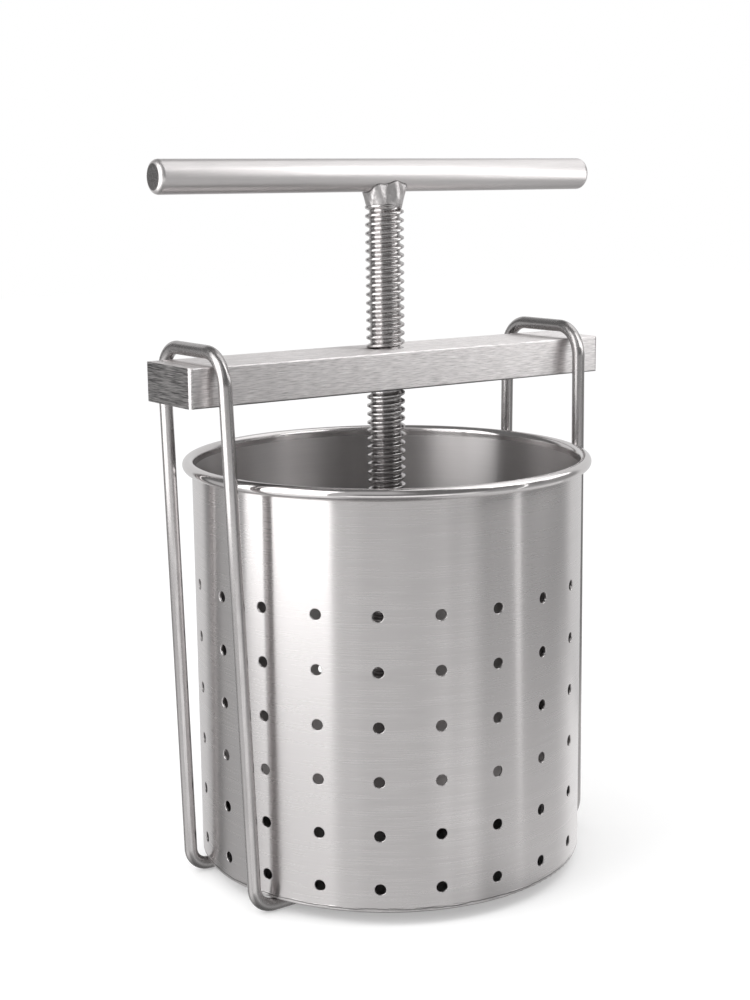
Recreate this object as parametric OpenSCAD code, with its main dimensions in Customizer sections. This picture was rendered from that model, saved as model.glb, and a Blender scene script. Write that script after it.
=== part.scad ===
// Screw press that squeezes the water out of chopped vegetables.
// A perforated bucket stands in a wire frame. The frame's two loops hold down a crossbar,
// and a screw through the crossbar drives a press plate down into the bucket.
// Millimetres, +Z up. The origin is on the floor, under the screw's axis. The crossbar lies along X.

/* [Bucket] */
// Outside diameter of the wall
bucket_od = 184; // [150:1:220]
// Height from the underside of the bottom to the top of the rim
bucket_h = 191; // [150:1:230]
// Thickness of the wall sheet
wall_t = 1; // [0.8:0.1:1.5]
// Thickness of the bottom disc
bottom_t = 1.6; // [1.5:0.1:4]
// Outside diameter of the rolled rim's section
bead_d = 5.5; // [4:0.25:7]
// Diameter of a drain hole
hole_d = 5; // [3:0.5:8]
// Number of drain holes round the wall
hole_columns = 21; // [12:1:26]
// Number of rows of drain holes
hole_rows = 6; // [3:1:6]
// Height between two rows of drain holes
hole_row_step = 24.8; // [15:0.2:26]
// Height of the lowest row above the underside of the bottom
hole_first_z = 11; // [8:0.5:16]
// Turn of the whole hole pattern about the bucket's axis
hole_turn = 232; // [0:1:360]

/* [Wire frame] */
// Diameter of the wire
wire_d = 6; // [4:0.5:8]
// Outward lean of the legs, in degrees
leg_lean = 0.95; // [0:0.05:2]
// Lean of the whole frame to the left, in degrees
frame_sway = 0.75; // [0:0.05:1]
// How much wider the legs stand at the floor than at the crossbar, on each side
leg_splay = 2.5; // [0:0.5:6]
// Gap between a leg and the side of the crossbar
loop_gap = 4; // [2:0.5:6]
// Bend radius at the top of a loop, at the wire's centre
loop_bend_r = 14; // [10.5:0.5:16]
// Bend radius at the foot of a leg, at the wire's centre
foot_bend_r = 9.5; // [8:0.5:14]

/* [Crossbar] */
// Width of the crossbar, across its length
bar_w = 40; // [32:1:50]
// Height of the crossbar
bar_h = 17.5; // [14:0.5:26]
// Length of the crossbar past the left loop
bar_overhang = 9.5; // [4:0.5:20]
// Height of the crossbar's underside above the rim
bar_lift = 32.5; // [28:0.5:60]
// Radius of the crossbar's upright corners
bar_corner_r = 2; // [0.5:0.1:4]
// Radius of the crossbar's long edges
bar_edge_r = 0.8; // [0.3:0.1:2]

/* [Screw] */
// Outside diameter of the trapezoidal thread
thread_d = 18; // [16:0.5:24]
// Depth of the thread, from crest to root
thread_depth = 1.9; // [1.5:0.05:2.1]
// Pitch of the thread, one start, right-hand
thread_pitch = 4; // [3.5:0.5:6]
// Length of thread that shows above the crossbar
screw_above = 65; // [50:1:90]
// Diameter of the plain journal at the foot of the screw
journal_d = 12; // [10:0.5:12.5]

/* [Handle] */
// Diameter of the handle rod
handle_d = 15; // [12:0.5:20]
// Length of the handle rod
handle_l = 236; // [160:1:280]
// Direction of the handle, in degrees from the crossbar
handle_angle = -1; // [-90:1:90]
// Rounding of the handle's ends
handle_edge_r = 2.5; // [0.5:0.1:3]
// Height of the weld between the thread and the underside of the handle
weld_h = 7; // [4:0.5:10]
// How far the weld stands out past the thread
weld_spread = 1.2; // [0.5:0.1:2.5]
// How far the weld climbs up the sides of the handle
weld_climb = 4.4; // [2:0.1:5.5]

/* [Press plate] */
// Gap between the press plate's edge and the bucket's wall
plate_clear = 2; // [1.2:0.1:5]
// Thickness of the press plate
plate_t = 4; // [3:0.5:8]
// Rounding of the press plate's edge
plate_edge_r = 1.2; // [0.3:0.1:1.4]
// Height of the press plate above the bucket's floor in the drawn position
plate_lift = 44; // [42:1:80]
// Outside diameter of the hub on the press plate
hub_d = 32; // [28:1:44]
// Height of the hub
hub_h = 24; // [20:1:32]
// Chamfer round the top of the hub
hub_chamfer = 1.5; // [0.5:0.1:3]
// Leg of the fillet weld round the foot of the hub
hub_weld_leg = 4; // [2:0.5:6]
// Thickness of the thrust pad under the screw's tip
pad_t = 2; // [1:0.5:4]
// Diameter of the two grub screws in the hub
grub_d = 5; // [4:0.5:6]
// Height of the grub screws above the foot of the hub
grub_z = 12; // [11:0.5:14]

/* [Clearances] */
// Gap between the wire and what it seats on
seat_gap = 0.2; // [0.1:0.1:0.5]
// Gap between the legs and the widest part of the bucket
leg_clear = 0.3; // [0.2:0.1:2]
// Gap between the thread's crests and roots and those of the tapped hole
thread_clear = 0.3; // [0.25:0.05:0.4]
// Gap between the thread's flanks and those of the tapped hole
flank_clear = 0.2; // [0.1:0.05:0.3]
// Radial gap between the journal and the hub's bore
journal_fit = 0.05; // [0.02:0.01:0.1]
// Gap between the thread's lower end and the top of the hub
shoulder_gap = 0.5; // [0.3:0.1:2]
// Gap between the screw's tip and the thrust pad
tip_gap = 0.05; // [0.02:0.01:0.2]
// Radial gap between a grub screw and its hole
grub_fit = 0.03; // [0.01:0.01:0.1]
// Gap between a grub screw's point and the journal's groove
groove_gap = 0.4; // [0.3:0.05:0.6]

/* [Hidden] */

$fn = 64;
thread_sides = 16;
wire_sides = 20;
bend_steps = 8;
// Overlap that carries a cut clear through a surface
over = 1;
// Rounding of an edge that stays sharp
sharp_r = 0.1;

// Colours of the finishes
satin_steel = [0.74, 0.74, 0.73];
brushed_steel = [0.68, 0.67, 0.66];
bright_steel = [0.80, 0.80, 0.80];
weld_steel = [0.60, 0.59, 0.58];
dark_steel = [0.30, 0.30, 0.31];

// Bucket: radii and heights
bucket_r = bucket_od / 2;
bucket_ir = bucket_r - wall_t;
bead_r = bead_d / 2;
bead_centre_r = bucket_ir + bead_r;
bead_outer_r = bucket_ir + bead_d;
base_z = wire_d + seat_gap;
floor_z = base_z + bottom_t;
rim_z = base_z + bucket_h;
bead_z = rim_z - bead_r;
// The rolled edge goes round from the wall and stops short of it by this much
curl_slit = 0.8;
curl_end = -acos((wall_t + curl_slit - bead_r) / bead_r);
curl_steps = 24;
// Weld between the wall and the bottom disc, and the rounding of the disc below it
seam_leg = 0.6;
seam_crown = 0.25;
bottom_round = 0.8;
bottom_edge_r = min(bottom_round, bottom_t - seam_leg - sharp_r);

// Crossbar: place and size
bar_z = rim_z + bar_lift;
bar_top_z = bar_z + bar_h;

// Wire frame: legs as close to the bucket as the bends at their feet and the rim let them
wire_r = wire_d / 2;
loop_y = bar_w / 2 + loop_gap + wire_r;
foot_y = loop_y + leg_splay;
loop_inner_r = loop_bend_r - wire_r;
corner_in_bend = max(0, loop_inner_r - loop_gap);
loop_rise = sqrt(pow(loop_inner_r - seat_gap, 2) - pow(corner_in_bend, 2));
loop_z = bar_top_z - loop_rise + loop_bend_r;
leg_rise = loop_z - wire_r;
left_slope = tan(leg_lean + frame_sway);
right_slope = tan(leg_lean - frame_sway);
// The bottom's edge meets the inside of a foot bend this far in from the leg
foot_inner_r = foot_bend_r - wire_r;
bend_inset = foot_bend_r - sqrt(pow(foot_inner_r, 2) - pow(foot_inner_r - seat_gap, 2));
leg_x_at_foot = sqrt(pow(bucket_r + leg_clear, 2) - pow(foot_y, 2)) + bend_inset;
rim_rise = bead_z - wire_r;
rim_leg_y = foot_y - leg_splay * rim_rise / leg_rise;
leg_x_at_rim = sqrt(pow(bead_outer_r + wire_r + leg_clear, 2) - pow(rim_leg_y, 2));
foot_x = max(leg_x_at_foot, leg_x_at_rim - rim_rise * right_slope);
left_loop_x = foot_x + leg_rise * left_slope;
right_loop_x = foot_x + leg_rise * right_slope;
bar_l = 2 * (left_loop_x + wire_r + bar_overhang);

// Press plate: stack of heights from the plate's underside to the thread's lower end
plate_r = bucket_ir - plate_clear;
plate_z = floor_z + plate_lift;
hub_z = plate_z + plate_t;
hub_top_z = hub_z + hub_h;
tip_z = hub_z + pad_t + tip_gap;
thread_low_z = hub_top_z + shoulder_gap;
journal_r = journal_d / 2;
tip_chamfer = 1;
// Grub screws: a plain point that reaches into the journal's groove, and a hexagon socket
grub_r = grub_d / 2;
grub_mid_z = hub_z + grub_z;
grub_point_d = 3.4;
groove_depth = 1.5;
groove_r = journal_r - groove_depth;
groove_h = grub_point_d + 2 * groove_gap;
grub_point_x = groove_r + groove_gap;
grub_setback = 0.5;
grub_shoulder_x = journal_r + journal_fit + grub_setback;
grub_sink = 0.8;
grub_outer_x = hub_d / 2 - grub_sink;
grub_key = 2.5;
grub_key_depth = 2.4;

// Screw and handle: stack of heights above the crossbar
thread_r = thread_d / 2;
thread_root_r = thread_r - thread_depth;
thread_high_z = bar_top_z + screw_above;
// Neck that carries the handle, inside the weld
neck_relief = 0.25;
neck_r = thread_root_r - neck_relief;
handle_under_z = thread_high_z + weld_h;
handle_z = handle_under_z + handle_d / 2;
// Section of the handle's weld: a narrow toe on the thread, swelling up to the handle
weld_toe_step = 0.5;
weld_toe_r = thread_r - weld_toe_step;
weld_flare_r = thread_r + weld_spread / 2;
weld_crown_r = thread_r + weld_spread;
weld_shoulder_r = thread_r + weld_spread / 3;
weld_top_z = handle_under_z + weld_climb;
// Hub weld: the middle of its face is drawn in to this share of the leg
hub_weld_hollow = 0.4;
// Trapezoidal thread form, with its crest as a share of the pitch
crest_share = 0.25;
crest_w = crest_share * thread_pitch;
flank_angle = 27;

function unit(v) = v / norm(v);

// Points on an arc, as [radius, height]
function arc(centre, r, from, to, steps) = [
    for (i = [0 : steps])
        let (a = from + (to - from) * i / steps)
        centre + r * [cos(a), sin(a)]
];

// Stations round one bend, each as [point, direction]
function bend_stations(before, corner, after, r) =
    let (
        into = unit(corner - before),
        out = unit(after - corner),
        turn = acos(into * out),
        inward = unit(out - into * (into * out)),
        centre = corner - into * r * tan(turn / 2) + inward * r
    )
    [
        for (k = [0 : bend_steps])
            let (a = turn * k / bend_steps)
            [centre + r * (into * sin(a) - inward * cos(a)), into * cos(a) + inward * sin(a)]
    ];

// Stations along a wire through corner points, with one bend radius for each inner corner
function wire_stations(points, radii) =
    let (last = len(points) - 1)
    [
        [points[0], unit(points[1] - points[0])],
        for (i = [1 : last - 1])
            each bend_stations(points[i - 1], points[i], points[i + 1], radii[i - 1]),
        [points[last], unit(points[last] - points[last - 1])]
    ];

// Direction square to the wire at each station, carried along without twisting
function carried_normals(stations, first) = [
    for (
        i = 0, n = first;
        i < len(stations);
        i = i + 1,
        n = i < len(stations) ? unit(n - stations[i][1] * (n * stations[i][1])) : n
    )
        n
];

// Round wire along the stations
module bent_wire(stations, d, first_normal) {
    normals = carried_normals(stations, first_normal);
    rings = len(stations);
    points = [
        for (i = [0 : rings - 1], k = [0 : wire_sides - 1])
            let (
                a = 360 * k / wire_sides,
                side = cross(stations[i][1], normals[i])
            )
            stations[i][0] + d / 2 * (normals[i] * cos(a) + side * sin(a))
    ];
    skin = [
        for (i = [0 : rings - 2], k = [0 : wire_sides - 1])
            let (
                a = i * wire_sides + k,
                b = i * wire_sides + (k + 1) % wire_sides
            )
            each [[a, a + wire_sides, b + wire_sides], [a, b + wire_sides, b]]
    ];
    end = (rings - 1) * wire_sides;
    caps = [
        for (k = [1 : wire_sides - 2])
            each [[0, k, k + 1], [end, end + k + 1, end + k]]
    ];
    polyhedron(points = points, faces = concat(skin, caps));
}

// Rectangle with round corners, centred
module rounded_rect(l, w, r) {
    square([l - 2 * r, w], center = true);
    square([l, w - 2 * r], center = true);
    for (x = [-1, 1], y = [-1, 1])
        translate([x * (l / 2 - r), y * (w / 2 - r)])
            circle(r);
}

// Solid of revolution with its lower and upper outer edges rounded
module rounded_disc(r, h, low_r, high_r) {
    rotate_extrude() {
        translate([0, low_r])
            square([r, h - low_r - high_r]);
        square([r - max(low_r, high_r), h]);
        translate([r - low_r, low_r])
            circle(low_r);
        translate([r - high_r, h - high_r])
            circle(high_r);
    }
}

// Corner points of the trapezoidal thread over one pitch, as [radius, height]
function thread_form(radial, axial) =
    let (
        flank = thread_depth * tan(flank_angle),
        crest = crest_w + 2 * axial,
        root = thread_pitch - crest - 2 * flank
    )
    [
        [thread_root_r + radial, axial],
        [thread_root_r + radial, axial + root],
        [thread_r + radial, axial + root + flank],
        [thread_r + radial, axial + root + flank + crest]
    ];

// Threaded rod that is whole between two heights, in step with every other one.
// The form is enlarged by a radial and an axial gap where the rod cuts a tapped hole.
module threaded_rod(low_z, high_z, radial = 0, axial = 0) {
    form = thread_form(radial, axial);
    corners = len(form);
    first = floor(low_z / thread_pitch) - 1;
    turns = ceil((high_z - low_z) / thread_pitch) + 3;
    rows = corners * turns;
    points = [
        for (i = [0 : thread_sides - 1], m = [0 : rows - 1])
            let (
                corner = form[m % corners],
                turn = first + floor(m / corners) + i / thread_sides,
                a = 360 * i / thread_sides
            )
            [corner[0] * cos(a), corner[0] * sin(a), thread_pitch * turn + corner[1]]
    ];
    low_tip = len(points);
    high_tip = low_tip + 1;
    tips = [[0, 0, thread_pitch * first], [0, 0, thread_pitch * (first + turns + 1)]];
    // Each strip joins one upright line of corners to the next, and the last one climbs a pitch
    strips = [
        for (i = [0 : thread_sides - 1], m = [0 : rows - 2])
            let (
                wraps = i == thread_sides - 1,
                a = i * rows + m,
                b = wraps ? m + corners : a + rows
            )
            if (!wraps || m + corners < rows - 1)
                each [[a, a + 1, b + 1], [a, b + 1, b]]
    ];
    low_loop = [for (i = [0 : thread_sides - 1]) i * rows, for (m = [corners : -1 : 1]) m];
    high_line = thread_sides * rows - 1;
    high_loop = [for (i = [1 : thread_sides]) i * rows - 1, for (m = [1 : corners]) high_line - m];
    edges = len(low_loop);
    low_fan = [for (k = [0 : edges - 1]) [low_loop[k], low_loop[(k + 1) % edges], low_tip]];
    high_fan = [for (k = [0 : edges - 1]) [high_loop[(k + 1) % edges], high_loop[k], high_tip]];
    polyhedron(points = concat(points, tips), faces = concat(strips, low_fan, high_fan));
}

// Rod along the handle's direction, also used to cope what meets the handle
module handle_rod() {
    rotate([0, 0, handle_angle])
        translate([-handle_l / 2, 0, handle_z])
            rotate([0, 90, 0])
                rounded_disc(handle_d / 2, handle_l, handle_edge_r, handle_edge_r);
}

// Section of the wall: a bevel for the weld at its foot, and the sheet rolled outward at its top
module wall_section() {
    bead = [bead_centre_r, bead_z];
    polygon(concat(
        [[bucket_r, floor_z + seam_leg], [bucket_r - seam_leg, floor_z], [bucket_ir, floor_z]],
        arc(bead, bead_r, 180, curl_end, curl_steps),
        arc(bead, bead_r - wall_t, curl_end, 180, curl_steps)
    ));
}

module bucket_wall() {
    color(satin_steel)
        difference() {
            rotate_extrude()
                wall_section();
            for (column = [0 : hole_columns - 1], row = [0 : hole_rows - 1])
                rotate([0, 0, hole_turn + 360 * column / hole_columns])
                    translate([bucket_ir - over, 0, base_z + hole_first_z + row * hole_row_step])
                        rotate([0, 90, 0])
                            cylinder(d = hole_d, h = wall_t + 2 * over);
        }
}

module bucket_bottom() {
    color(satin_steel)
        difference() {
            translate([0, 0, base_z])
                rounded_disc(bucket_r, bottom_t, bottom_edge_r, sharp_r);
            translate([0, 0, floor_z])
                rotate_extrude()
                    polygon([
                        [bucket_r - seam_leg, 0],
                        [bucket_r - seam_leg, over],
                        [bucket_r + over, over],
                        [bucket_r + over, -seam_leg],
                        [bucket_r, -seam_leg]
                    ]);
        }
}

module bottom_weld() {
    color(weld_steel)
        translate([0, 0, floor_z])
            rotate_extrude()
                polygon([
                    [bucket_r - seam_leg, 0],
                    [bucket_r, -seam_leg],
                    [bucket_r + seam_crown, -seam_leg / 2],
                    [bucket_r + seam_crown, seam_leg / 2],
                    [bucket_r, seam_leg]
                ]);
}

// One half of the wire frame from front to rear, for given places of its foot and loop
module bail(bail_foot_x, bail_loop_x) {
    corners = [
        [0, -foot_y, wire_r],
        [bail_foot_x, -foot_y, wire_r],
        [bail_loop_x, -loop_y, loop_z],
        [bail_loop_x, loop_y, loop_z],
        [bail_foot_x, foot_y, wire_r],
        [0, foot_y, wire_r]
    ];
    bends = [foot_bend_r, loop_bend_r, loop_bend_r, foot_bend_r];
    bent_wire(wire_stations(corners, bends), wire_d, [0, 0, 1]);
}

module bail_left() {
    color(bright_steel)
        bail(-foot_x, -left_loop_x);
}

module bail_right() {
    color(bright_steel)
        bail(foot_x, right_loop_x);
}

module crossbar() {
    color(brushed_steel)
        difference() {
            translate([0, 0, bar_z])
                intersection() {
                    linear_extrude(bar_h)
                        rounded_rect(bar_l, bar_w, bar_corner_r);
                    translate([-bar_l / 2, 0, bar_h / 2])
                        rotate([90, 0, 90])
                            linear_extrude(bar_l)
                                rounded_rect(bar_w, bar_h, bar_edge_r);
                }
            threaded_rod(bar_z - over, bar_top_z + over, thread_clear, flank_clear);
        }
}

module lead_screw() {
    color(bright_steel)
        union() {
            intersection() {
                threaded_rod(thread_low_z, thread_high_z);
                translate([0, 0, thread_low_z])
                    cylinder(r = thread_r + over, h = thread_high_z - thread_low_z);
            }
            difference() {
                translate([0, 0, thread_high_z])
                    cylinder(r = neck_r, h = handle_z - thread_high_z);
                handle_rod();
            }
            rotate_extrude()
                polygon([
                    [0, tip_z],
                    [journal_r - tip_chamfer, tip_z],
                    [journal_r, tip_z + tip_chamfer],
                    [journal_r, grub_mid_z - groove_h / 2],
                    [groove_r, grub_mid_z - groove_h / 2],
                    [groove_r, grub_mid_z + groove_h / 2],
                    [journal_r, grub_mid_z + groove_h / 2],
                    [journal_r, thread_low_z],
                    [0, thread_low_z]
                ]);
        }
}

module handle_bar() {
    color(satin_steel)
        handle_rod();
}

module handle_weld() {
    color(weld_steel)
        difference() {
            rotate_extrude()
                polygon([
                    [neck_r, thread_high_z],
                    [weld_toe_r, thread_high_z],
                    [thread_r, thread_high_z + weld_h / 2],
                    [weld_flare_r, handle_under_z],
                    [weld_crown_r, handle_under_z + weld_climb / 2],
                    [weld_shoulder_r, weld_top_z],
                    [neck_r, weld_top_z]
                ]);
            handle_rod();
        }
}

module press_plate() {
    color(satin_steel)
        translate([0, 0, plate_z])
            rounded_disc(plate_r, plate_t, plate_edge_r, plate_edge_r);
}

// Places children at each of the two grub screws, with X outward
module at_grubs() {
    for (a = [0, 180])
        rotate([0, 0, a])
            translate([0, 0, grub_mid_z])
                children();
}

module plate_hub() {
    color(brushed_steel)
        difference() {
            translate([0, 0, hub_z])
                rotate_extrude()
                    polygon([
                        [journal_r + journal_fit, 0],
                        [hub_d / 2, 0],
                        [hub_d / 2, hub_h - hub_chamfer],
                        [hub_d / 2 - hub_chamfer, hub_h],
                        [journal_r + journal_fit, hub_h]
                    ]);
            at_grubs()
                rotate([0, 90, 0])
                    cylinder(r = grub_r + grub_fit, h = hub_d);
        }
}

module hub_weld() {
    color(weld_steel)
        translate([0, 0, hub_z])
            rotate_extrude()
                polygon([
                    [hub_d / 2, 0],
                    [hub_d / 2 + hub_weld_leg, 0],
                    [hub_d / 2 + hub_weld_hollow * hub_weld_leg, hub_weld_hollow * hub_weld_leg],
                    [hub_d / 2, hub_weld_leg]
                ]);
}

module thrust_pad() {
    color(dark_steel)
        translate([0, 0, hub_z])
            cylinder(r = journal_r, h = pad_t);
}

module grub_screws() {
    color(dark_steel)
        at_grubs()
            difference() {
                rotate([0, 90, 0]) {
                    translate([0, 0, grub_shoulder_x])
                        cylinder(r = grub_r, h = grub_outer_x - grub_shoulder_x);
                    translate([0, 0, grub_point_x])
                        cylinder(d = grub_point_d, h = grub_outer_x - grub_point_x);
                }
                translate([grub_outer_x - grub_key_depth, 0, 0])
                    rotate([0, 90, 0])
                        cylinder(d = grub_key / cos(30), h = grub_key_depth + over, $fn = 6);
            }
}

bucket_wall();
bucket_bottom();
bottom_weld();
bail_left();
bail_right();
crossbar();
lead_screw();
handle_bar();
handle_weld();
press_plate();
plate_hub();
hub_weld();
thrust_pad();
grub_screws();
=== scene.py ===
import math

import bpy
import numpy as np
from mathutils import Matrix


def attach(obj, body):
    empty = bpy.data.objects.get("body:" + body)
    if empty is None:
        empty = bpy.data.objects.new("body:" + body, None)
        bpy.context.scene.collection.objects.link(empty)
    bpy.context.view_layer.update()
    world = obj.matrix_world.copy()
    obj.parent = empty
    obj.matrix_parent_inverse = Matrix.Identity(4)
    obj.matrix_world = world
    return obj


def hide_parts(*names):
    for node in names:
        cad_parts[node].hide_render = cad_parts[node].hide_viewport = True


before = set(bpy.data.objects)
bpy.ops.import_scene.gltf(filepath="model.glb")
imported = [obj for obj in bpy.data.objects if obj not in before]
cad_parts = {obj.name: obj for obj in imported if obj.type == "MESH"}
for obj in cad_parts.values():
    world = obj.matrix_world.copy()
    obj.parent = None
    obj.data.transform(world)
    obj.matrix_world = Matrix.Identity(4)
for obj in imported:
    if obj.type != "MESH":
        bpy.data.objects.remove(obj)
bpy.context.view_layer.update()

# Lengths are written in millimetres, as in the part's source, and turned into metres as meshes are made.
MM = 0.001
TURN = 2 * math.pi

# Bucket
WALL_R = 92.0
WALL_IR = 91.0
FLOOR_Z = 7.8
BASE_Z = 6.2
SEAM_LEG = 0.6
RIM_Z = 197.2
BEAD_R = 2.75
BEAD_INNER_R = 1.75
BEAD_CENTRE_R = 93.75
BEAD_Z = RIM_Z - BEAD_R
CURL_END = -110.2
HOLE_R = 2.5
HOLE_COLUMNS = 21
HOLE_ROWS = 6
HOLE_ROW_STEP = 24.8
HOLE_MARGIN = 11.0
HOLE_FIRST_Z = BASE_Z + HOLE_MARGIN
HOLE_TURN = 232.0
HOLE_OUTER_ROUND = 0.32
HOLE_INNER_ROUND = 0.12

# Wire frame
WIRE_R = 3.0
FOOT_X = 95.3588
LEFT_LOOP_X = 102.778
RIGHT_LOOP_X = 96.2314
FOOT_Y = 29.5
LOOP_Y = 27.0
LOOP_Z = 252.976
FOOT_BEND_R = 9.5
LOOP_BEND_R = 14.0

# Screw, handle and press
PITCH = 4.0
THREAD_R = 9.0
ROOT_R = 7.1
FLANK_ANGLE = 27.0
FLANK = (THREAD_R - ROOT_R) * math.tan(math.radians(FLANK_ANGLE))
CREST_SHARE = 0.25
CREST_W = CREST_SHARE * PITCH
THREAD_LOW_Z = 80.3
THREAD_HIGH_Z = 312.2
TIP_Z = 57.85
JOURNAL_R = 6.0
GROOVE_R = 4.5
GROOVE_LOW_Z = 65.7
GROOVE_HIGH_Z = 69.9
HANDLE_R = 7.5
HANDLE_Z = 326.7
HANDLE_ANGLE = -1.0
HUB_R = 16.0
HUB_Z = 55.8
HUB_WELD_LEG = 4.0

# Camera, as found from the photograph
CAMERA_AZIMUTH = 35.248
CAMERA_DISTANCE = 783.35
CAMERA_HEIGHT = 323.46
CAMERA_PITCH = 10.758
CAMERA_YAW = -0.418
CAMERA_ROLL = -0.6
FOCAL_PX = 1671.8
IMAGE_HEIGHT_PX = 1000
SENSOR_HEIGHT = 36.0

# Corners of a mesh that fall on the same step of this grid are joined
JOIN_STEPS_PER_MM = 2000


class Skin:
    """Collects patches of quads with a normal for each corner, and joins corners that share a place."""

    def __init__(self):
        self.points, self.normals, self.quads = [], [], []
        self.count = 0

    def patch(self, points, normals, close=False):
        """Adds a grid of points, rows by columns, with normals on the outside.

        close joins the last column to the first.
        """
        points = np.asarray(points, float)
        normals = np.broadcast_to(np.asarray(normals, float), points.shape)
        rows, cols = points.shape[:2]
        index = np.arange(rows * cols).reshape(rows, cols)
        if close:
            index = np.concatenate([index, index[:, :1]], axis=1)
        quads = np.stack([index[:-1, :-1], index[:-1, 1:], index[1:, 1:], index[1:, :-1]], axis=-1)
        quads = quads.reshape(-1, 4)
        flat, flat_normals = points.reshape(-1, 3), normals.reshape(-1, 3)
        across = flat[quads[:, 2]] - flat[quads[:, 0]]
        along = flat[quads[:, 3]] - flat[quads[:, 1]]
        if (np.cross(across, along) * flat_normals[quads].sum(axis=1)).sum() < 0:
            quads = quads[:, ::-1]
        self.points.append(flat)
        self.normals.append(flat_normals)
        self.quads.append(quads + self.count)
        self.count += len(flat)

    def piece(self, name):
        """Makes the object, in metres, and links it to the scene."""
        points = np.concatenate(self.points)
        normals = np.concatenate(self.normals)
        quads = np.concatenate(self.quads)
        keys = np.round(points * JOIN_STEPS_PER_MM).astype(np.int64)
        first, shared = np.unique(keys, axis=0, return_index=True, return_inverse=True)[1:]
        shared = shared.reshape(-1)
        faces, corners = [], []
        for quad in quads:
            ids = shared[quad]
            kept = [i for i in range(4) if ids[i] != ids[i - 1]]
            if len(kept) > 2 and len(set(ids[kept])) == len(kept):
                faces.append([int(i) for i in ids[kept]])
                corners.extend(quad[kept])
        mesh = bpy.data.meshes.new(name)
        mesh.from_pydata((points[first] * MM).tolist(), [], faces)
        mesh.polygons.foreach_set("use_smooth", [True] * len(faces))
        facing = normals[corners]
        facing = facing / np.linalg.norm(facing, axis=1, keepdims=True)
        mesh.normals_split_custom_set(facing.tolist())
        made = bpy.data.objects.new(name, mesh)
        bpy.context.scene.collection.objects.link(made)
        return made


def unit(v):
    return v / np.linalg.norm(v)


def polar(radius, angle, z):
    """Points at a distance from the axis, an angle round it and a height."""
    radius, angle, z = np.broadcast_arrays(radius, angle, z)
    return np.stack([radius * np.cos(angle), radius * np.sin(angle), z], axis=-1)


def revolve(skin, profile, profile_normals, angles):
    """A profile of (radius, height) pairs turned about the axis."""
    profile, profile_normals = np.asarray(profile, float), np.asarray(profile_normals, float)
    at = np.asarray(angles)[None, :]
    points = polar(profile[:, :1], at, profile[:, 1:])
    normals = polar(profile_normals[:, :1], at, profile_normals[:, 1:])
    skin.patch(points, normals, close=True)


def flat_revolve(skin, corners, angles):
    """A profile of straight runs, each shaded flat, with its outside on the right of its direction."""
    for a, b in zip(corners[:-1], corners[1:]):
        run = np.subtract(b, a)
        normal = np.array([run[1], -run[0]]) / np.hypot(*run)
        revolve(skin, [a, b], [normal, normal], angles)


# Bucket wall: cells round each hole, the plain band above them, and the rolled rim
CELL_STEPS = 8
WALL_STEPS = HOLE_COLUMNS * CELL_STEPS
CELL_RINGS = (0.0, 0.4, 0.68, 0.87, 1.0)
HOLE_EDGE_STEPS = 4
BAND_STEPS = 6
BEAD_STEPS = 40


def cell_rims(column, low_z, high_z, hole_z, hole_r):
    """The cell's edge and its hole's edge, as matched (angle, height) pairs."""
    half = math.pi / HOLE_COLUMNS
    middle = math.radians(HOLE_TURN) + TURN * column / HOLE_COLUMNS
    across = np.linspace(-half, half, CELL_STEPS + 1)
    up = np.linspace(low_z, high_z, CELL_STEPS + 1)
    edge = np.concatenate([
        np.stack([across[:-1], np.full(CELL_STEPS, low_z)], 1),
        np.stack([np.full(CELL_STEPS, half), up[:-1]], 1),
        np.stack([across[:0:-1], np.full(CELL_STEPS, high_z)], 1),
        np.stack([np.full(CELL_STEPS, -half), up[:0:-1]], 1),
    ])
    spoke = np.arctan2(edge[:, 1] - hole_z, edge[:, 0] * WALL_R)
    rim = np.stack([np.arcsin(hole_r * np.cos(spoke) / WALL_R), hole_z + hole_r * np.sin(spoke)], 1)
    edge[:, 0] += middle
    rim[:, 0] += middle
    return edge, rim, spoke, middle


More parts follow.
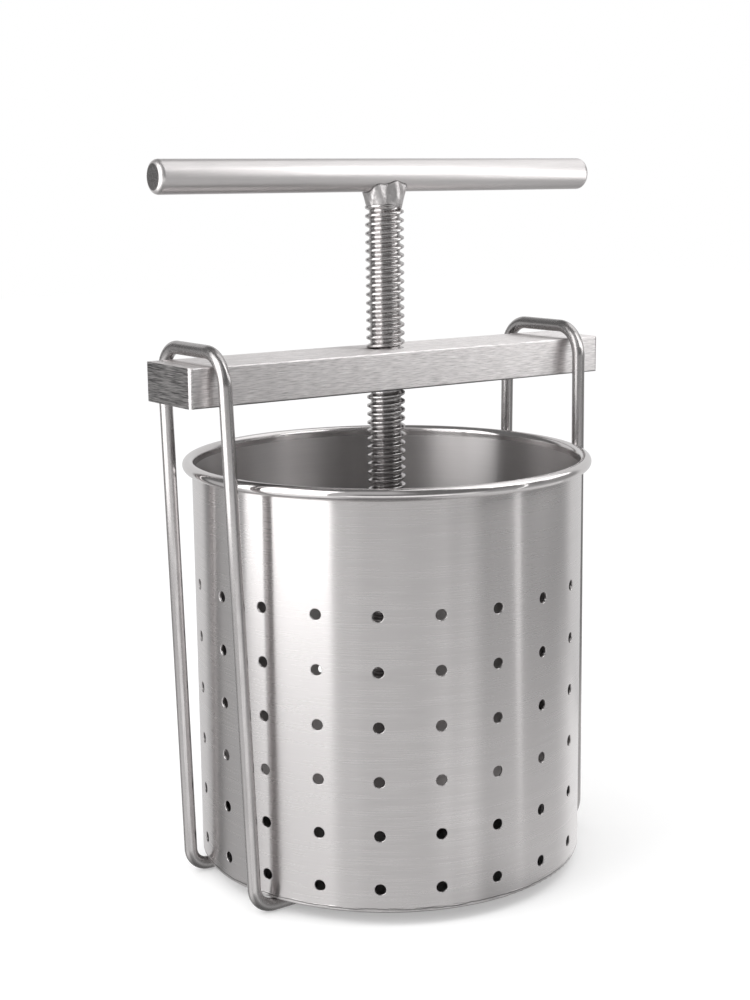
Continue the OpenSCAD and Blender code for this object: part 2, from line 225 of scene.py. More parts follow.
def wall_cell(skin, column, row):
    """One cell of the wall, outside and inside, with the bore of its hole between them."""
    hole_z = HOLE_FIRST_Z + row * HOLE_ROW_STEP
    high_z = hole_z + HOLE_ROW_STEP / 2
    outer_low_z = hole_z - HOLE_ROW_STEP / 2 if row else FLOOR_Z + SEAM_LEG
    inner_low_z = hole_z - HOLE_ROW_STEP / 2 if row else FLOOR_Z
    ring_share = np.array(CELL_RINGS)[:, None]
    for radius, low_z, rounding, side in (
        (WALL_R, outer_low_z, HOLE_OUTER_ROUND, 1),
        (WALL_IR, inner_low_z, HOLE_INNER_ROUND, -1),
    ):
        edge, rim, spoke, middle = cell_rims(column, low_z, high_z, hole_z, HOLE_R + rounding)
        angle = edge[:, 0] + (rim[:, 0] - edge[:, 0]) * ring_share
        z = edge[:, 1] + (rim[:, 1] - edge[:, 1]) * ring_share
        skin.patch(polar(radius, angle, z), side * polar(1, angle, np.zeros_like(z)), close=True)
        # Rounded edge of the hole, from the wall's face into the bore
        bend = np.radians(np.linspace(0, 90, HOLE_EDGE_STEPS + 1))[:, None]
        reach = HOLE_R + rounding * (1 - np.sin(bend))
        angle = middle + np.arcsin(reach * np.cos(spoke) / WALL_R)
        z = hole_z + reach * np.sin(spoke)
        depth = radius - side * rounding * (1 - np.cos(bend))
        out = np.array([math.cos(middle), math.sin(middle), 0])
        aside = np.array([-math.sin(middle), math.cos(middle), 0])
        inward = -(np.cos(spoke)[:, None] * aside + np.sin(spoke)[:, None] * np.array([0, 0, 1]))
        normals = side * np.cos(bend)[..., None] * out + np.sin(bend)[..., None] * inward
        skin.patch(polar(depth, angle, z), normals, close=True)
        if side == 1:
            bore_start, bore_normals = polar(depth, angle, z)[-1], normals[-1]
        else:
            bore = np.stack([bore_start, polar(depth, angle, z)[-1]])
            skin.patch(bore, np.stack([bore_normals] * 2), close=True)


def bucket_wall():
    """All the cells, the band above them, the rolled rim and the foot's edge at the seam."""
    skin = Skin()
    for column in range(HOLE_COLUMNS):
        for row in range(HOLE_ROWS):
            wall_cell(skin, column, row)
    angles = math.radians(HOLE_TURN) + TURN * (np.arange(WALL_STEPS) / WALL_STEPS - 0.5 / HOLE_COLUMNS)
    top_z = HOLE_FIRST_Z + (HOLE_ROWS - 0.5) * HOLE_ROW_STEP
    band = np.linspace(top_z, BEAD_Z, BAND_STEPS + 1)
    revolve(skin, [(WALL_R, z) for z in band], [(1, 0)] * len(band), angles)
    revolve(skin, [(WALL_IR, z) for z in band], [(-1, 0)] * len(band), angles)
    curl = np.radians(np.linspace(180, CURL_END, BEAD_STEPS + 1))
    facing = np.stack([np.cos(curl), np.sin(curl)], 1)
    bead = np.array([BEAD_CENTRE_R, BEAD_Z])
    revolve(skin, bead + BEAD_R * facing, facing, angles)
    revolve(skin, bead + BEAD_INNER_R * facing, -facing, angles)
    lip = bead + np.outer([BEAD_INNER_R, BEAD_R], facing[-1])
    flat_revolve(skin, [tuple(p) for p in lip], angles)
    foot = [(WALL_IR, FLOOR_Z), (WALL_R - SEAM_LEG, FLOOR_Z), (WALL_R, FLOOR_Z + SEAM_LEG)]
    flat_revolve(skin, foot, angles)
    return skin.piece("perforated_wall")


# Ring welds: beads with ripples that run round the axis. A section sweeps this far to each side, in degrees.
BEAD_SWEEP = 100
BEAD_SECTION_POINTS = 15

# The feet of each bead's section, and its ripples as (waves per turn, height, phase)
SEAM_LOW = (-0.12, -0.6)
SEAM_HIGH = (-0.12, 0.75)
SEAM_LUMPS = ((37, 0.25, 0.3), (61, 0.2, 1.1), (13, 0.2, 2.0))
SEAM_LIFTS = ((23, 0.12, 0.7), (51, 0.1, 1.4))
SEAM_CROWN = 0.2
SEAM_STEPS = 720
HUB_BEAD_LOW = (HUB_WELD_LEG, 0.05)
HUB_BEAD_HIGH = (0.05, HUB_WELD_LEG)
HUB_BEAD_LUMPS = ((48, 0.16, 0.0), (11, 0.12, 0.6))
HUB_BEAD_LIFTS = ((48, 0.05, 0.9),)
HUB_BEAD_CROWN = 0.7
HUB_BEAD_STEPS = 384


def ripple(angles, waves):
    """Sum of the waves at each angle."""
    return sum(height * np.sin(count * angles + phase) for count, height, phase in waves)


def surface_normals(points, core):
    """Normals of a closed-column grid of points, turned away from the core line."""
    along = np.roll(points, -1, axis=1) - np.roll(points, 1, axis=1)
    across = np.gradient(points, axis=0)
    normals = np.cross(along, across)
    normals /= np.linalg.norm(normals, axis=-1, keepdims=True)
    if (normals * (points - core)).sum() < 0:
        normals = -normals
    return normals


def weld_ring(name, radius, z, low_foot, high_foot, lumps, lifts, crown, steps):
    """A bead whose section is half an ellipse between two feet, given as offsets from (radius, z)."""
    skin = Skin()
    angles = np.linspace(0, TURN, steps, endpoint=False)
    lump = 1 + ripple(angles, lumps)
    lift = ripple(angles, lifts)
    low, high = np.array(low_foot, float), np.array(high_foot, float)
    middle, half = (low + high) / 2, (high - low) / 2
    face = np.array([half[1], -half[0]]) / np.hypot(*half)
    rows = []
    for a in np.radians(np.linspace(-BEAD_SWEEP, BEAD_SWEEP, BEAD_SECTION_POINTS)):
        offset = np.sin(a) * half[None, :] + np.outer(crown * np.cos(a) * lump, face) + middle
        rows.append(polar(radius + offset[:, 0], angles, z + offset[:, 1] + lift))
    points = np.array(rows)
    skin.patch(points, surface_normals(points, polar(radius, angles, z)), close=True)
    back = np.stack([points[-1], points[0]])
    skin.patch(back, -polar(face[0], angles, np.full(steps, face[1]))[None].repeat(2, 0), close=True)
    return skin.piece(name)


# Handle weld. Its swell is in millimetres outwards. Its wrap is how far round the handle its upper edge lies
# from the underside, in radians. Lobes add to them: (middle, width, amount), in degrees round the screw.
COLLAR_STEPS = 200
COLLAR_ROWS = 33
COLLAR_SWELL = 0.1
COLLAR_SWELL_LOBES = ((-150, 34, 0.6), (-80, 20, 1.3), (50, 34, 0.5), (115, 26, 0.6), (-114, 12, -0.35))
COLLAR_WRAP = 1.08
COLLAR_WRAP_SHARPNESS = 3.0
COLLAR_WRAP_LOBES = ((-76, 18, -0.16), (-112, 14, 0.06))
COLLAR_REACH = 9.6
COLLAR_REACH_SWING = 0.2
COLLAR_TOE_R = 8.0
COLLAR_TOE_SWELL = 0.25
COLLAR_TOE_Z = THREAD_HIGH_Z - 0.4
COLLAR_TOE_WAVES = ((5, 0.35, 1.9), (9, 0.3, 0.4), (16, 0.15, 1.1))
COLLAR_CORE_R = 6.5
COLLAR_CORE_RISE = 0.3
COLLAR_FULLNESS = 2.6
COLLAR_PROUD = 0.1
COLLAR_SINK = 0.8
COLLAR_MIDDLE_Z = THREAD_HIGH_Z + 4.0


def handle_weld():
    """Weld between the screw and the handle: lobes that climb the handle's sides, with hollows between."""
    skin = Skin()
    angle = np.linspace(0, TURN, COLLAR_STEPS, endpoint=False)
    turn = math.radians(HANDLE_ANGLE)
    along = np.array([math.cos(turn), math.sin(turn), 0])
    aside = np.array([-math.sin(turn), math.cos(turn), 0])
    up = np.array([0, 0, 1.0])

    def with_lobes(amount, lobes):
        for middle, width, height in lobes:
            gap = (angle - math.radians(middle) + math.pi) % TURN - math.pi
            amount = amount + height * np.exp(-(gap / math.radians(width)) ** 2)
        return amount

    swell = with_lobes(COLLAR_SWELL, COLLAR_SWELL_LOBES)
    wrap = with_lobes(COLLAR_WRAP * np.tanh(COLLAR_WRAP_SHARPNESS * np.sin(angle)), COLLAR_WRAP_LOBES)
    reach = COLLAR_REACH - COLLAR_REACH_SWING * np.cos(angle)
    toe_z = COLLAR_TOE_Z + ripple(angle, COLLAR_TOE_WAVES)
    out = np.cos(angle)[:, None] * along + np.sin(angle)[:, None] * aside

    def on_handle(radius):
        return (
            (reach * np.cos(angle))[:, None] * along
            + (radius * np.sin(wrap))[:, None] * aside
            + (HANDLE_Z - radius * np.cos(wrap))[:, None] * up
        )

    toe = out * (COLLAR_TOE_R + COLLAR_TOE_SWELL * swell)[:, None] + toe_z[:, None] * up
    crest = on_handle(HANDLE_R + COLLAR_PROUD)
    rows = [out * COLLAR_CORE_R + (toe_z + COLLAR_CORE_RISE)[:, None] * up]
    for share in np.linspace(0, 1, COLLAR_ROWS):
        puff = 1 - abs(2 * share - 1) ** COLLAR_FULLNESS
        rows.append((1 - share) * toe + share * crest + puff * swell[:, None] * out)
    rows.append(on_handle(HANDLE_R - COLLAR_SINK))
    points = np.array(rows)
    core = np.array([0, 0, COLLAR_MIDDLE_Z])
    skin.patch(points, surface_normals(points, core), close=True)
    return skin.piece("handle_weld_collar")


# Wire frame
WIRE_SIDES = 40
BEND_STEPS = 24


def wire_stations(corners, radii):
    """Points and directions along a wire with round bends at its inner corners."""
    points, ways = [corners[0]], [unit(corners[1] - corners[0])]
    for i, r in enumerate(radii, 1):
        into, out = unit(corners[i] - corners[i - 1]), unit(corners[i + 1] - corners[i])
        bend = math.acos(into @ out)
        inward = unit(out - into * (into @ out))
        centre = corners[i] - into * r * math.tan(bend / 2) + inward * r
        for a in np.linspace(0, bend, BEND_STEPS + 1):
            points.append(centre + r * (into * math.sin(a) - inward * math.cos(a)))
            ways.append(into * math.cos(a) + inward * math.sin(a))
    points.append(corners[-1])
    ways.append(unit(corners[-1] - corners[-2]))
    return np.array(points), np.array(ways)


def bail(name, foot_x, loop_x):
    """One half of the wire frame, from the front foot over the loop to the rear foot."""
    corners = np.array([
        [0, -FOOT_Y, WIRE_R],
        [foot_x, -FOOT_Y, WIRE_R],
        [loop_x, -LOOP_Y, LOOP_Z],
        [loop_x, LOOP_Y, LOOP_Z],
        [foot_x, FOOT_Y, WIRE_R],
        [0, FOOT_Y, WIRE_R],
    ])
    points, ways = wire_stations(corners, [FOOT_BEND_R, LOOP_BEND_R, LOOP_BEND_R, FOOT_BEND_R])
    normal = np.array([0, 0, 1.0])
    around = np.linspace(0, TURN, WIRE_SIDES, endpoint=False)
    facing = []
    for way in ways:
        normal = unit(normal - way * (normal @ way))
        side = np.cross(way, normal)
        facing.append(np.cos(around)[:, None] * normal + np.sin(around)[:, None] * side)
    facing = np.array(facing)
    skin = Skin()
    skin.patch(points[:, None, :] + WIRE_R * facing, facing, close=True)
    for end, way in ((0, -ways[0]), (-1, ways[-1])):
        disc = np.array([points[end] + share * WIRE_R * facing[end] for share in (0.0, 1.0)])
        skin.patch(disc, way, close=True)
    return skin.piece(name)


# Screw
THREAD_SIDES = 64
CORNER_ROUND = 0.4
CORNER_STEPS = 4
SCREW_TOP_Z = THREAD_HIGH_Z + 3.0
JOURNAL_CHAMFER = 1.0
RUN_OUT_START = 0.6
RUN_OUT_L = 1.6


def thread_profile():
    """One pitch of the thread with rounded corners, as (radius, height) with normals."""
    root_w = PITCH - CREST_W - 2 * FLANK
    crest_z = root_w + FLANK
    marks = [(ROOT_R, 0.0), (ROOT_R, root_w), (THREAD_R, crest_z), (THREAD_R, crest_z + CREST_W)]
    last = len(marks) - 1
    points, normals = [], []
    for i, mark in enumerate(marks):
        here = np.array(mark)
        before = np.array(marks[i - 1]) - ([0, PITCH] if i == 0 else [0, 0])
        after = np.array(marks[i + 1] if i < last else marks[0]) + ([0, PITCH] if i == last else [0, 0])
        into, out = unit(here - before), unit(after - here)
        bend = math.acos(into @ out)
        inward = unit(out - into * (into @ out))
        centre = here - into * CORNER_ROUND * math.tan(bend / 2) + inward * CORNER_ROUND
        for a in np.linspace(0, bend, CORNER_STEPS + 1):
            spot = centre + CORNER_ROUND * (into * math.sin(a) - inward * math.cos(a))
            way = into * math.cos(a) + inward * math.sin(a)
            points.append(spot)
            normals.append((way[1], -way[0]))
    return np.array(points), np.array(normals)


def lead_screw():
    """The thread as one long patch, and the plain journal below it with its groove."""
    profile, profile_normals = thread_profile()
    # Spare turns below and above, which the clip of z folds flat
    first = math.floor(THREAD_LOW_Z / PITCH) - 1
    turns = math.ceil((SCREW_TOP_Z - THREAD_LOW_Z) / PITCH) + 3
    step = np.arange(turns * THREAD_SIDES + 1)
    angle = TURN * step / THREAD_SIDES
    profile = np.concatenate([profile, profile[:1] + [0, PITCH]])
    profile_normals = np.concatenate([profile_normals, profile_normals[:1]])
    z = PITCH * (first + step / THREAD_SIDES) + profile[:, 1:]
    radius = np.broadcast_to(profile[:, :1], z.shape)
    # The thread fades out at each end
    from_end = np.minimum(z - THREAD_LOW_Z - RUN_OUT_START, SCREW_TOP_Z - RUN_OUT_START - z)
    radius = ROOT_R + (radius - ROOT_R) * np.clip(from_end / RUN_OUT_L, 0, 1)
    points = polar(radius, angle, np.clip(z, THREAD_LOW_Z, SCREW_TOP_Z))
    normals = polar(profile_normals[:, :1], angle, profile_normals[:, 1:])
    lead = np.stack([-radius * np.sin(angle), radius * np.cos(angle), np.full_like(z, PITCH / TURN)], -1)
    lead /= np.linalg.norm(lead, axis=-1, keepdims=True)
    normals = normals - lead * (normals * lead).sum(-1, keepdims=True)
    skin = Skin()
    skin.patch(points, normals)
    around = TURN * np.arange(THREAD_SIDES) / THREAD_SIDES
    flat_revolve(skin, [
        (0, TIP_Z),
        (JOURNAL_R - JOURNAL_CHAMFER, TIP_Z),
        (JOURNAL_R, TIP_Z + JOURNAL_CHAMFER),
        (JOURNAL_R, GROOVE_LOW_Z),
        (GROOVE_R, GROOVE_LOW_Z),
        (GROOVE_R, GROOVE_HIGH_Z),
        (JOURNAL_R, GROOVE_HIGH_Z),
        (JOURNAL_R, THREAD_LOW_Z),
        (ROOT_R, THREAD_LOW_Z),
    ], around)
    flat_revolve(skin, [(ROOT_R, SCREW_TOP_Z), (0, SCREW_TOP_Z)], around)
    return skin.piece("screw_thread")


# Materials. Noise scales are per metre. Noise mostly stays within its range, which is mapped onto the swing.
NOISE_ROUGHNESS = 0.6
NOISE_RANGE = (0.3, 0.7)
FINE_SHARE = 0.6
SLOW_SHARE = 0.4
SLOW_DETAIL = 3.0
GREEN_TINT = 0.966
BLUE_TINT = 0.962

# Sockets of the mix node for each kind of value: first, second, result
MIX_SOCKETS = {"FLOAT": (2, 3, 0), "VECTOR": (4, 5, 1), "RGBA": (6, 7, 2)}

# Wall: the dark line at the seam weld's edge, which is painted shade for its crevice, the polished rim, and
# the inside, which is painted darker low down as shade deep in the bucket
TOE_LINE_SCALE = (90, 90, 0)
TOE_LINE_Z = (7.5 * MM, 8.2 * MM)
TOE_LINE_HALF_W = (0.1 * MM, 0.3 * MM)
TOE_LINE_PAINTED_SHADE = 0.3
RIM_ROUGHNESS = 0.45
RIM_POLISH_Z = ((BEAD_Z - BEAD_R) * MM, (BEAD_Z - BEAD_R / 2) * MM)
INSIDE_PAINTED_SHADE = (0.45, 0.95)
INSIDE_PAINTED_SHADE_Z = (120 * MM, 170 * MM)
INSIDE_ROUGHNESS = 1.2
WALL_MIDDLE_R = ((WALL_IR + 0.2) * MM, (WALL_R - 0.2) * MM)

# Cut ends, and painted shade on undersides, by how far a face turns towards the stock's axis or downwards
END_FACING = (0.94, 0.985)
UNDERSIDE_SHADE_FACING = (-0.6, -0.15)
SAW_NOISE_RANGE = (0.35, 0.65)
SAW_ROUGHNESS = (0.5, 0.4)

# Painted shade: the handle weld's dark edge, for the shadow in its crevice, and the thread's dark roots, for
# the shade in its grooves
CREVICE_PAINTED_SHADE = 0.25
CREVICE_R = ((HANDLE_R + 0.15) * MM, (HANDLE_R + 0.7) * MM)
ROOT_PAINTED_SHADE = 0.82


def new_finish(name):
    material = bpy.data.materials.new(name)
    material.use_nodes = True
    return material, material.node_tree


def add(tree, kind, inputs=None, **settings):
    """Adds a node. An input is a value, or a socket to link from."""
    made = tree.nodes.new(kind)
    for key, value in settings.items():
        setattr(made, key, value)
    for key, value in (inputs or {}).items():
        if isinstance(value, bpy.types.NodeSocket):
            tree.links.new(value, made.inputs[key])
        else:
            made.inputs[key].default_value = value
    return made


def maths(tree, operation, *values):
    return add(tree, "ShaderNodeMath", dict(enumerate(values)), operation=operation).outputs[0]


def spread(tree, value, low, high, from_low=0.0, from_high=1.0):
    """Maps a value onto a range, held at its ends."""
    inputs = {"Value": value, "From Min": from_low, "From Max": from_high, "To Min": low, "To Max": high}
    return add(tree, "ShaderNodeMapRange", inputs).outputs["Result"]


def streaks(tree, where, scale, detail=2.0):
    """Noise drawn out along the directions with the small scale, per metre."""
    stretched = add(tree, "ShaderNodeMapping", {"Vector": where, "Scale": scale}).outputs["Vector"]
    inputs = {"Vector": stretched, "Scale": 1.0, "Detail": detail, "Roughness": NOISE_ROUGHNESS}
    return add(tree, "ShaderNodeTexNoise", inputs).outputs["Fac"]


def mix(tree, kind, share, a, b):
    """Goes from a to b as the share goes from 0 to 1."""
    first, second, result = MIX_SOCKETS[kind]
    return add(tree, "ShaderNodeMix", {0: share, first: a, second: b}, data_type=kind).outputs[result]


def grey(bright):
    return (bright, bright, bright, 1)


def axis_distance(tree, where):
    """Distance from the screw's axis."""
    flat = add(tree, "ShaderNodeVectorMath", {0: where, 1: (1, 1, 0)}, operation="MULTIPLY").outputs["Vector"]
    return add(tree, "ShaderNodeVectorMath", {0: flat}, operation="LENGTH").outputs["Value"]


def steel(
    name, tone, roughness, lines, mottle, line_depth, tone_swing, rough_swing,
    anisotropy=0.0, rotation=0.0, axis="Z", extra=None,
):
    """Stainless steel with fine lines and a slow mottle, each given by its noise scale.

    tone and roughness are at the middle of their swings, and line_depth is in metres. extra changes the tone
    and the roughness by place, and says where the stock's cut ends are, if it has any.
    """
    material, tree = new_finish(name)
    shader = tree.nodes["Principled BSDF"]
    where = add(tree, "ShaderNodeTexCoord").outputs["Object"]
    fine = streaks(tree, where, lines)
    slow = streaks(tree, where, mottle, SLOW_DETAIL)
    fine_part = maths(tree, "MULTIPLY", fine, FINE_SHARE)
    slow_part = maths(tree, "MULTIPLY", slow, SLOW_SHARE)
    both = maths(tree, "ADD", fine_part, slow_part)
    shade = spread(tree, both, tone * (1 - tone_swing), tone * (1 + tone_swing), *NOISE_RANGE)
    rough = spread(tree, both, roughness * (1 + rough_swing), roughness * (1 - rough_swing), *NOISE_RANGE)
    ends = None
    if extra:
        shade, rough, ends = extra(tree, where, shade, rough)
    warm = add(tree, "ShaderNodeCombineColor", {
        "Red": shade,
        "Green": maths(tree, "MULTIPLY", shade, GREEN_TINT),
        "Blue": maths(tree, "MULTIPLY", shade, BLUE_TINT),
    }).outputs["Color"]
    tree.links.new(warm, shader.inputs["Base Color"])
    tree.links.new(rough, shader.inputs["Roughness"])
    shader.inputs["Metallic"].default_value = 1.0
    bump = add(tree, "ShaderNodeBump", {"Height": fine, "Strength": 1.0, "Distance": line_depth})
    tree.links.new(bump.outputs["Normal"], shader.inputs["Normal"])
    if anisotropy:
        shader.inputs["Anisotropic"].default_value = anisotropy
        shader.inputs["Anisotropic Rotation"].default_value = rotation
        tangent = add(tree, "ShaderNodeTangent", direction_type="RADIAL", axis=axis).outputs["Tangent"]
        if ends is not None:
            tangent = mix(tree, "VECTOR", ends, tangent, (0, 0, 1))
        tree.links.new(tangent, shader.inputs["Tangent"])
    return material


def wall_shades(tree, where, shade, rough):
    """Wavy dark line of painted crevice shade where the seam weld ends, a polished rim, and an inside that is
    duller and painted darker low down as shade deep in the bucket.
    """
    z = add(tree, "ShaderNodeSeparateXYZ", {"Vector": where}).outputs["Z"]
    # Painted shade: a wavy dark line at the seam weld's edge, for the shadow in its crevice
    wave = streaks(tree, where, TOE_LINE_SCALE, SLOW_DETAIL)
    line_z = spread(tree, wave, *TOE_LINE_Z, *NOISE_RANGE)
    gap = maths(tree, "ABSOLUTE", maths(tree, "SUBTRACT", z, line_z))
    line = spread(tree, gap, TOE_LINE_PAINTED_SHADE, 1.0, *TOE_LINE_HALF_W)
    polish = spread(tree, z, 1.0, RIM_ROUGHNESS, *RIM_POLISH_Z)
    # Painted shade: the inside darkens low down, for the shade deep in the bucket
    depth = spread(tree, z, *INSIDE_PAINTED_SHADE, *INSIDE_PAINTED_SHADE_Z)
    outside = spread(tree, axis_distance(tree, where), 0.0, 1.0, *WALL_MIDDLE_R)
    light = maths(tree, "MAXIMUM", depth, outside)
    shade = maths(tree, "MULTIPLY", maths(tree, "MULTIPLY", shade, light), line)
    grain = spread(tree, outside, INSIDE_ROUGHNESS, 1.0)
    return shade, maths(tree, "MULTIPLY", maths(tree, "MULTIPLY", rough, polish), grain), None


def sawn_ends_and_under_shade(marks_scale, dark, light, underside_shade=1.0):
    """Ends where the stock was cut, with saw marks between two tones. The last argument paints shade on the
    underside, for the dark below it; at 1 there is none.
    """
    def finish(tree, where, shade, rough):
        facing = add(tree, "ShaderNodeTexCoord").outputs["Normal"]
        axes = add(tree, "ShaderNodeSeparateXYZ", {"Vector": facing})
        end = spread(tree, maths(tree, "ABSOLUTE", axes.outputs["X"]), 0.0, 1.0, *END_FACING)
        marks = streaks(tree, where, marks_scale)
        cut_shade = spread(tree, marks, dark, light, *SAW_NOISE_RANGE)
        cut_rough = spread(tree, marks, *SAW_ROUGHNESS, *NOISE_RANGE)
        # Painted shade on the underside, for the dark below it
        if underside_shade < 1:
            painted_under_shade = spread(tree, axes.outputs["Z"], underside_shade, 1.0, *UNDERSIDE_SHADE_FACING)
            shade = maths(tree, "MULTIPLY", shade, painted_under_shade)
        return mix(tree, "FLOAT", end, shade, cut_shade), mix(tree, "FLOAT", end, rough, cut_rough), end
    return finish


def painted_crevice_shade(tree, where, shade, rough):
    """Painted shade: a dark line where the weld runs out on the handle, for the shadow in the crevice there.
    """
    turned = add(tree, "ShaderNodeMapping", {
        "Vector": where,
        "Location": (0, 0, -HANDLE_Z * MM),
        "Rotation": (0, 0, math.radians(-HANDLE_ANGLE)),
    }).outputs["Vector"]
    across = add(tree, "ShaderNodeVectorMath", {0: turned, 1: (0, 1, 1)}, operation="MULTIPLY")
    reach = add(tree, "ShaderNodeVectorMath", {0: across.outputs["Vector"]}, operation="LENGTH")
    keep = spread(tree, reach.outputs["Value"], CREVICE_PAINTED_SHADE, 1.0, *CREVICE_R)
    return maths(tree, "MULTIPLY", shade, keep), rough, None


def painted_root_shade(tree, where, shade, rough):
    """Painted shade in the thread's roots, darker towards the root, for the shade in its grooves."""
    keep = spread(tree, axis_distance(tree, where), ROOT_PAINTED_SHADE, 1.0, ROOT_R * MM, THREAD_R * MM)
    return maths(tree, "MULTIPLY", shade, keep), rough, None


FINISHES = {finish["name"]: steel(**finish) for finish in (
    dict(
        name="satin_sheet", tone=0.78, roughness=0.28, lines=(25, 25, 2600), mottle=(30, 30, 240),
        line_depth=0.000002, tone_swing=0.027, rough_swing=0.06, anisotropy=1.0, rotation=0.25,
        extra=wall_shades,
    ),
    dict(
        name="satin_plate", tone=0.66, roughness=0.34, lines=(900, 900, 900), mottle=(60, 60, 60),
        line_depth=0.00001, tone_swing=0.08, rough_swing=0.12, anisotropy=0.5,
    ),
    dict(
        name="polished_wire", tone=0.53, roughness=0.26, lines=(900, 900, 40), mottle=(120, 120, 60),
        line_depth=0.00001, tone_swing=0.07, rough_swing=0.25,
    ),
    dict(
        name="brushed_bar", tone=0.81, roughness=0.45, lines=(180, 2600, 2600), mottle=(110, 1900, 1900),
        line_depth=0.00005, tone_swing=0.40, rough_swing=0.12, anisotropy=0.8, axis="X",
        extra=sawn_ends_and_under_shade((40, 110, 2600), dark=0.18, light=0.78, underside_shade=0.35),
    ),
    dict(
        name="bright_thread", tone=0.65, roughness=0.20, lines=(200, 200, 1800), mottle=(150, 150, 300),
        line_depth=0.00002, tone_swing=0.08, rough_swing=0.3, extra=painted_root_shade,
    ),
    dict(
        name="satin_rod", tone=0.76, roughness=0.40, lines=(60, 1800, 1800), mottle=(50, 200, 200),
        line_depth=0.000015, tone_swing=0.05, rough_swing=0.1,
        extra=sawn_ends_and_under_shade((40, 900, 1500), dark=0.14, light=0.26),
    ),
    dict(
        name="weld_bead", tone=0.66, roughness=0.22, lines=(500, 500, 500), mottle=(200, 200, 200),
        line_depth=0.00004, tone_swing=0.12, rough_swing=0.3,
    ),
    dict(
        name="handle_weld", tone=0.58, roughness=0.42, lines=(420, 420, 420), mottle=(200, 200, 200),
        line_depth=0.0003, tone_swing=0.18, rough_swing=0.2, extra=painted_crevice_shade,
    ),
    dict(
        name="turned_hub", tone=0.66, roughness=0.30, lines=(60, 60, 1500), mottle=(80, 80, 80),
        line_depth=0.00002, tone_swing=0.08, rough_swing=0.15,
    ),
    dict(
        name="hardened", tone=0.22, roughness=0.35, lines=(700, 700, 700), mottle=(150, 150, 150),
        line_depth=0.00002, tone_swing=0.15, rough_swing=0.2,
    ),
)}


def dress(obj, finish):
    if not obj.material_slots:
        obj.data.materials.append(None)
    for place in obj.material_slots:
        place.material = FINISHES[finish]


def put(obj, body, slot_name, finish, *nodes):
    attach(obj, body)
    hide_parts(*nodes)
    dress(obj, finish)


put(bucket_wall(), "frame", "satin_sheet", "satin_sheet", "bucket_wall")
put(bail("bail_wire_left", -FOOT_X, -LEFT_LOOP_X), "frame", "polished_wire", "polished_wire", "bail_left")
put(bail("bail_wire_right", FOOT_X, RIGHT_LOOP_X), "frame", "polished_wire", "polished_wire", "bail_right")
seam = weld_ring(
    "seam_weld_bead", WALL_R, FLOOR_Z, SEAM_LOW, SEAM_HIGH, SEAM_LUMPS, SEAM_LIFTS, SEAM_CROWN, SEAM_STEPS,
)
put(seam, "frame", "weld_bead", "satin_sheet", "bottom_weld")
put(lead_screw(), "screw", "bright_thread", "bright_thread", "lead_screw")
put(handle_weld(), "screw", "weld_bead", "handle_weld", "handle_weld")
hub_bead = weld_ring(
    "hub_weld_bead", HUB_R, HUB_Z, HUB_BEAD_LOW, HUB_BEAD_HIGH,
    HUB_BEAD_LUMPS, HUB_BEAD_LIFTS, HUB_BEAD_CROWN, HUB_BEAD_STEPS,
)
put(hub_bead, "press", "weld_bead", "weld_bead", "hub_weld")

for node, finish in (
    ("bucket_bottom", "satin_plate"),
    ("press_plate", "satin_plate"),
    ("crossbar", "brushed_bar"),
    ("handle_bar", "satin_rod"),
    ("plate_hub", "turned_hub"),
    ("thrust_pad", "hardened"),
    ("grub_screws", "hardened"),
):
    dress(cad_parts[node], finish)


# Camera and studio
def placed(right, above, back, place):
    """Matrix of an object with these axes, at a place in metres."""
    return Matrix([[right[i], above[i], back[i], place[i]] for i in range(3)] + [[0, 0, 0, 1]])


def place_camera():
    azimuth, pitch = math.radians(CAMERA_AZIMUTH), math.radians(CAMERA_PITCH)
    heading, roll = azimuth + math.radians(CAMERA_YAW), math.radians(CAMERA_ROLL)
    level = math.cos(pitch)
    ahead = np.array([math.sin(heading) * level, math.cos(heading) * level, -math.sin(pitch)])
    right = np.array([math.cos(heading), -math.sin(heading), 0])
    above = np.cross(right, ahead)
    right, above = (
        math.cos(roll) * right + math.sin(roll) * above,
        -math.sin(roll) * right + math.cos(roll) * above,
    )
    place = np.array([
        -CAMERA_DISTANCE * math.sin(azimuth),
        -CAMERA_DISTANCE * math.cos(azimuth),
        CAMERA_HEIGHT,
    ]) * MM
    data = bpy.data.cameras.new("camera")
    data.sensor_fit = "VERTICAL"
    data.sensor_height = SENSOR_HEIGHT
    data.lens = FOCAL_PX / IMAGE_HEIGHT_PX * SENSOR_HEIGHT
    camera = bpy.data.objects.new("camera", data)
    bpy.context.scene.collection.objects.link(camera)
    camera.matrix_world = placed(right, above, -ahead, place)
    bpy.context.scene.camera = camera


# What the metal sees of the room: a plain grey, and boxes with soft edges, each over those before it.
# Each is (from, to) in degrees to the right of the camera, (from, to) in degrees of height, edge, brightness.
ROOM_BRIGHT = 0.16
ROOM_BOXES = (
    ((-400, 400), (-100, -14), 14, 0.40),  # floor all round
    ((-110, -26), (-100, -16), 18, 1.02),  # floor on the left
    ((-26, 40), (-100, -16), 18, 0.34),  # floor in front, near
    ((-26, 40), (-27, -9), 12, 1.43),  # floor in front, far
    ((-400, 400), (-100, -54), 30, 0.18),  # straight down
    ((-36, 12), (18, 72), 16, 0.50),  # front, high
    ((-30, 34), (-9, 14), 10, 0.16),  # front, level
    ((-34, -18), (-12, 40), 10, 0.50),  # front left
    ((38, 54), (-34, -6), 10, 0.85),  # front right, low
    ((58, 90), (-12, 8), 8, 0.30),  # right, level
    ((128, 215), (-30, 36), 16, 0.68),  # behind, right of centre
    ((-230, -132), (-30, 36), 10, 0.70),  # behind, left of centre
    ((-132, -119), (-40, 40), 6, 0.14),  # left rear, dark strip
    ((-116, -92), (-40, 5), 6, 0.50),  # left, low
    ((92, 126), (-12, 14), 10, 0.30),  # right rear, level
    ((84, 165), (34, 90), 10, 1.15),  # right rear, high
)


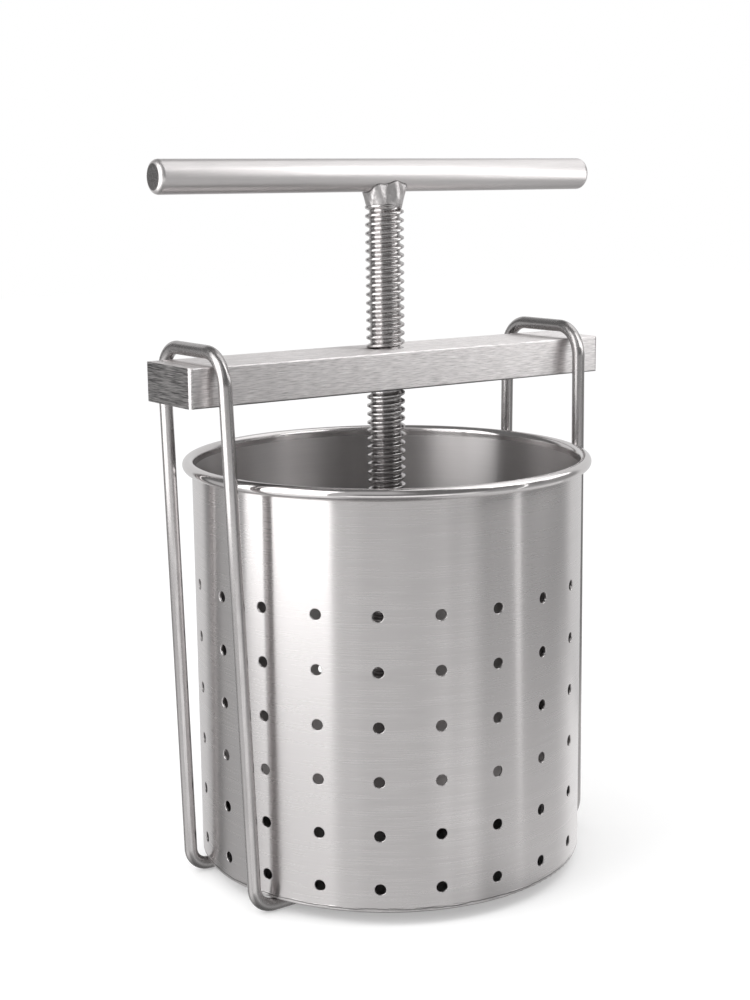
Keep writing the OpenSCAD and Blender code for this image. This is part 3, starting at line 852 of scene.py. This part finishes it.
def build_world():
    world = bpy.data.worlds.new("studio")
    world.use_nodes = True
    bpy.context.scene.world = world
    tree = world.node_tree
    tree.nodes.clear()
    way = add(tree, "ShaderNodeTexCoord").outputs["Generated"]
    azimuth = math.radians(CAMERA_AZIMUTH)

    def share_along(x, y):
        dot = add(tree, "ShaderNodeVectorMath", {0: way, 1: (x, y, 0)}, operation="DOT_PRODUCT")
        return dot.outputs["Value"]

    to_right = share_along(math.cos(azimuth), -math.sin(azimuth))
    to_camera = share_along(-math.sin(azimuth), -math.cos(azimuth))
    aside = maths(tree, "DEGREES", maths(tree, "ARCTAN2", to_right, to_camera))
    up = add(tree, "ShaderNodeSeparateXYZ", {"Vector": way}).outputs["Z"]
    height = maths(tree, "DEGREES", maths(tree, "ARCSINE", up))

    def within(value, limits, edge):
        rise = spread(tree, value, 0.0, 1.0, limits[0] - edge / 2, limits[0] + edge / 2)
        fall = spread(tree, value, 1.0, 0.0, limits[1] - edge / 2, limits[1] + edge / 2)
        return maths(tree, "MULTIPLY", rise, fall)

    room = grey(ROOM_BRIGHT)
    for sides, heights, edge, bright in ROOM_BOXES:
        share = maths(tree, "MULTIPLY", within(aside, sides, edge), within(height, heights, edge))
        room = mix(tree, "RGBA", share, room, grey(bright))
    # Only reflections show the room. The backdrop and the plain light are white.
    mirrored = add(tree, "ShaderNodeLightPath").outputs["Is Glossy Ray"]
    seen = mix(tree, "RGBA", mirrored, grey(1), room)
    background = add(tree, "ShaderNodeBackground", {"Color": seen, "Strength": 1.0})
    output = add(tree, "ShaderNodeOutputWorld")
    tree.links.new(background.outputs[0], output.inputs[0])


# Soft boxes: centre, size across and up, place that they face, and brightness
SOFT_BOXES = (
    ("left_panel", (-410, 0, 430), (400, 660), (0, 0, 430), 2.15),
    ("right_panel", (215, -270, 595), (250, 510), (215, 0, 595), 2.2),
    ("strip", (254, -336, 300), (18, 600), (0, 0, 300), 1.1),
    ("floor_card", (168, -142, 1), (420, 250), (169, -143, 900), 0.30),
    ("thread_panel", (225, -131, 300), (120, 90), (0, 0, 300), 1.9),
)


def build_lamps():
    for name, centre, (across, up), target, bright in SOFT_BOXES:
        data = bpy.data.lights.new(name, "AREA")
        data.shape = "RECTANGLE"
        data.size, data.size_y = across * MM, up * MM
        data.energy = bright * math.pi * data.size * data.size_y
        lamp = bpy.data.objects.new(name, data)
        bpy.context.scene.collection.objects.link(lamp)
        back = unit(np.subtract(centre, target).astype(float))
        side = unit(np.cross([0, 0, 1], back))
        lift = np.cross(back, side)
        lamp.matrix_world = placed(side, lift, back, np.multiply(centre, MM))
        lamp.visible_camera = False


# Floor to stand on: half its width in metres, its tone, and a glow towards the camera
STAGE_HALF = 4.0
STAGE_TONE = 0.8
STAGE_GLOW = 0.22


def build_floor():
    mesh = bpy.data.meshes.new("floor")
    corners = [(STAGE_HALF * x, STAGE_HALF * y, 0) for x, y in ((-1, -1), (1, -1), (1, 1), (-1, 1))]
    mesh.from_pydata(corners, [], [(0, 1, 2, 3)])
    floor = bpy.data.objects.new("floor", mesh)
    bpy.context.scene.collection.objects.link(floor)
    material, tree = new_finish("pale_floor")
    tree.nodes.clear()
    diffuse = add(tree, "ShaderNodeBsdfDiffuse", {"Color": grey(STAGE_TONE)})
    seen = add(tree, "ShaderNodeLightPath").outputs["Is Camera Ray"]
    strength = maths(tree, "MULTIPLY", seen, STAGE_GLOW)
    glow = add(tree, "ShaderNodeEmission", {"Color": grey(1), "Strength": strength})
    both = add(tree, "ShaderNodeAddShader", {0: diffuse.outputs[0], 1: glow.outputs[0]})
    output = add(tree, "ShaderNodeOutputMaterial")
    tree.links.new(both.outputs[0], output.inputs["Surface"])
    mesh.materials.append(material)
    floor.visible_glossy = False


place_camera()
build_world()
build_lamps()
build_floor()
bpy.context.scene.view_settings.view_transform = "Standard"
